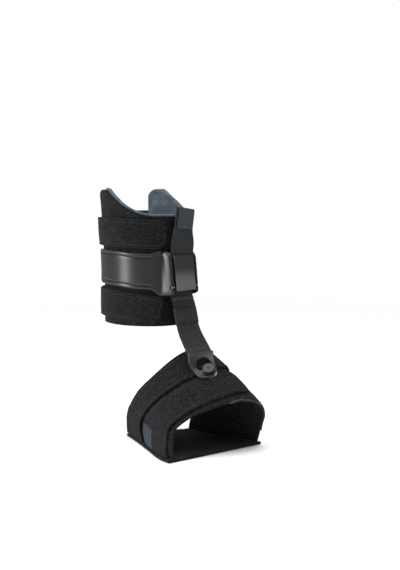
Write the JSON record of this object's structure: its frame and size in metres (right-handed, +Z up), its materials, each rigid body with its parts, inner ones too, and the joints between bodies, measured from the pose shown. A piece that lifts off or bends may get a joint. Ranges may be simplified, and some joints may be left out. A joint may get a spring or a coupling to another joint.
{
  "type": "ankle foot orthosis",
  "caption": "Drop-foot ankle orthosis: padded ankle cuff with moulded band and lever clasp, elastic lift strap and keyhole tab hooked on a barefoot instep wrap.",
  "frame": {"origin": "on the floor, under the middle of the sole band, where the wrap stands", "axes": "+Z up along the leg, -Y towards the toes, +X towards the inner side of the right foot; the leg axis stands 50 mm behind the origin"},
  "size_m": [0.0977, 0.1638, 0.2241],
  "materials": {
    "loop_fabric": "brushed loop-pile fabric",
    "foam": "knitted foam laminate",
    "lining": "blue-grey knitted lining",
    "hook": "moulded hook tape",
    "moulded_plastic": "satin charcoal moulding",
    "matte_moulding": "fine-textured moulding",
    "steel": "nickel-plated steel",
    "webbing": "flat woven webbing",
    "label": "slate-blue woven label tape",
    "elastic": "ribbed woven elastic",
    "gloss_black": "polished black"
  },
  "bodies": {
    "foot_wrap": {"sole_band": "loop_fabric", "instep_base": "loop_fabric", "base_binding": "lining", "instep_rear_strap": "loop_fabric", "instep_front_strap": "loop_fabric", "button_rivet": "steel", "button_collar": "steel", "button_head": "gloss_black", "keyhole_tab": "matte_moulding", "lift_elastic": "elastic"},
    "cuff": {"cuff_shell": "loop_fabric", "cuff_foam": "foam", "cuff_lining": "lining", "spine_panel": "foam", "upper_strap": "loop_fabric", "lower_strap": "loop_fabric", "moulded_band": "moulded_plastic", "clasp_axle": "steel", "lift_webbing": "webbing", "webbing_keeper": "webbing", "woven_patch": "webbing"},
    "clasp_lever": {"clasp_cover": "moulded_plastic", "clasp_cam": "moulded_plastic"},
    "strap_tail": {"strap_tail": "webbing", "pull_label": "label"},
    "upper_strap_end": {"upper_strap_end": "loop_fabric", "upper_hook_patch": "hook"},
    "lower_strap_end": {"lower_strap_end": "loop_fabric", "lower_hook_patch": "hook"},
    "instep_rear_strap_end": {"instep_rear_strap_end": "loop_fabric", "instep_rear_hook_patch": "hook"},
    "instep_front_strap_end": {"instep_front_strap_end": "loop_fabric", "instep_front_hook_patch": "hook"}
  },
  "joints": [
    {"name": "ankle_flex", "type": "hinge", "parent": "foot_wrap", "child": "cuff", "pos_m": [0, 0.05, 0.075], "axis": [1, 0, 0], "range_deg": [-15, 10], "stiffness_Nm_per_rad": 2, "deforming": ["lift_elastic"]},
    {"name": "clasp_lever_open", "type": "hinge", "parent": "cuff", "child": "clasp_lever", "pos_m": [0.00781, 0.00568, 0.138], "axis": [0.9848, 0.1736, 0], "range_deg": [0, 55]},
    {"name": "tail_peel", "type": "hinge", "parent": "cuff", "child": "strap_tail", "pos_m": [0.00734, 0.00834, 0.16925], "axis": [0.9848, 0.1736, 0], "range_deg": [0, 80]},
    {"name": "upper_strap_peel", "type": "hinge", "parent": "cuff", "child": "upper_strap_end", "pos_m": [-0.03207, 0.02401, 0.184], "axis": [0.0456, 0.0097, -0.9989], "range_deg": [0, 70]},
    {"name": "lower_strap_peel", "type": "hinge", "parent": "cuff", "child": "lower_strap_end", "pos_m": [-0.03098, 0.02424, 0.11895], "axis": [0, 0, -1], "range_deg": [0, 70]},
    {"name": "instep_rear_peel", "type": "hinge", "parent": "foot_wrap", "child": "instep_rear_strap_end", "pos_m": [0.02705, -0.0165, 0.07553], "axis": [0.184, -0.8491, -0.4951], "range_deg": [0, 70]},
    {"name": "instep_front_peel", "type": "hinge", "parent": "foot_wrap", "child": "instep_front_strap_end", "pos_m": [0.01926, -0.04568, 0.06103], "axis": [-0.027, -0.8573, -0.5142], "range_deg": [0, 70]}
  ]
}
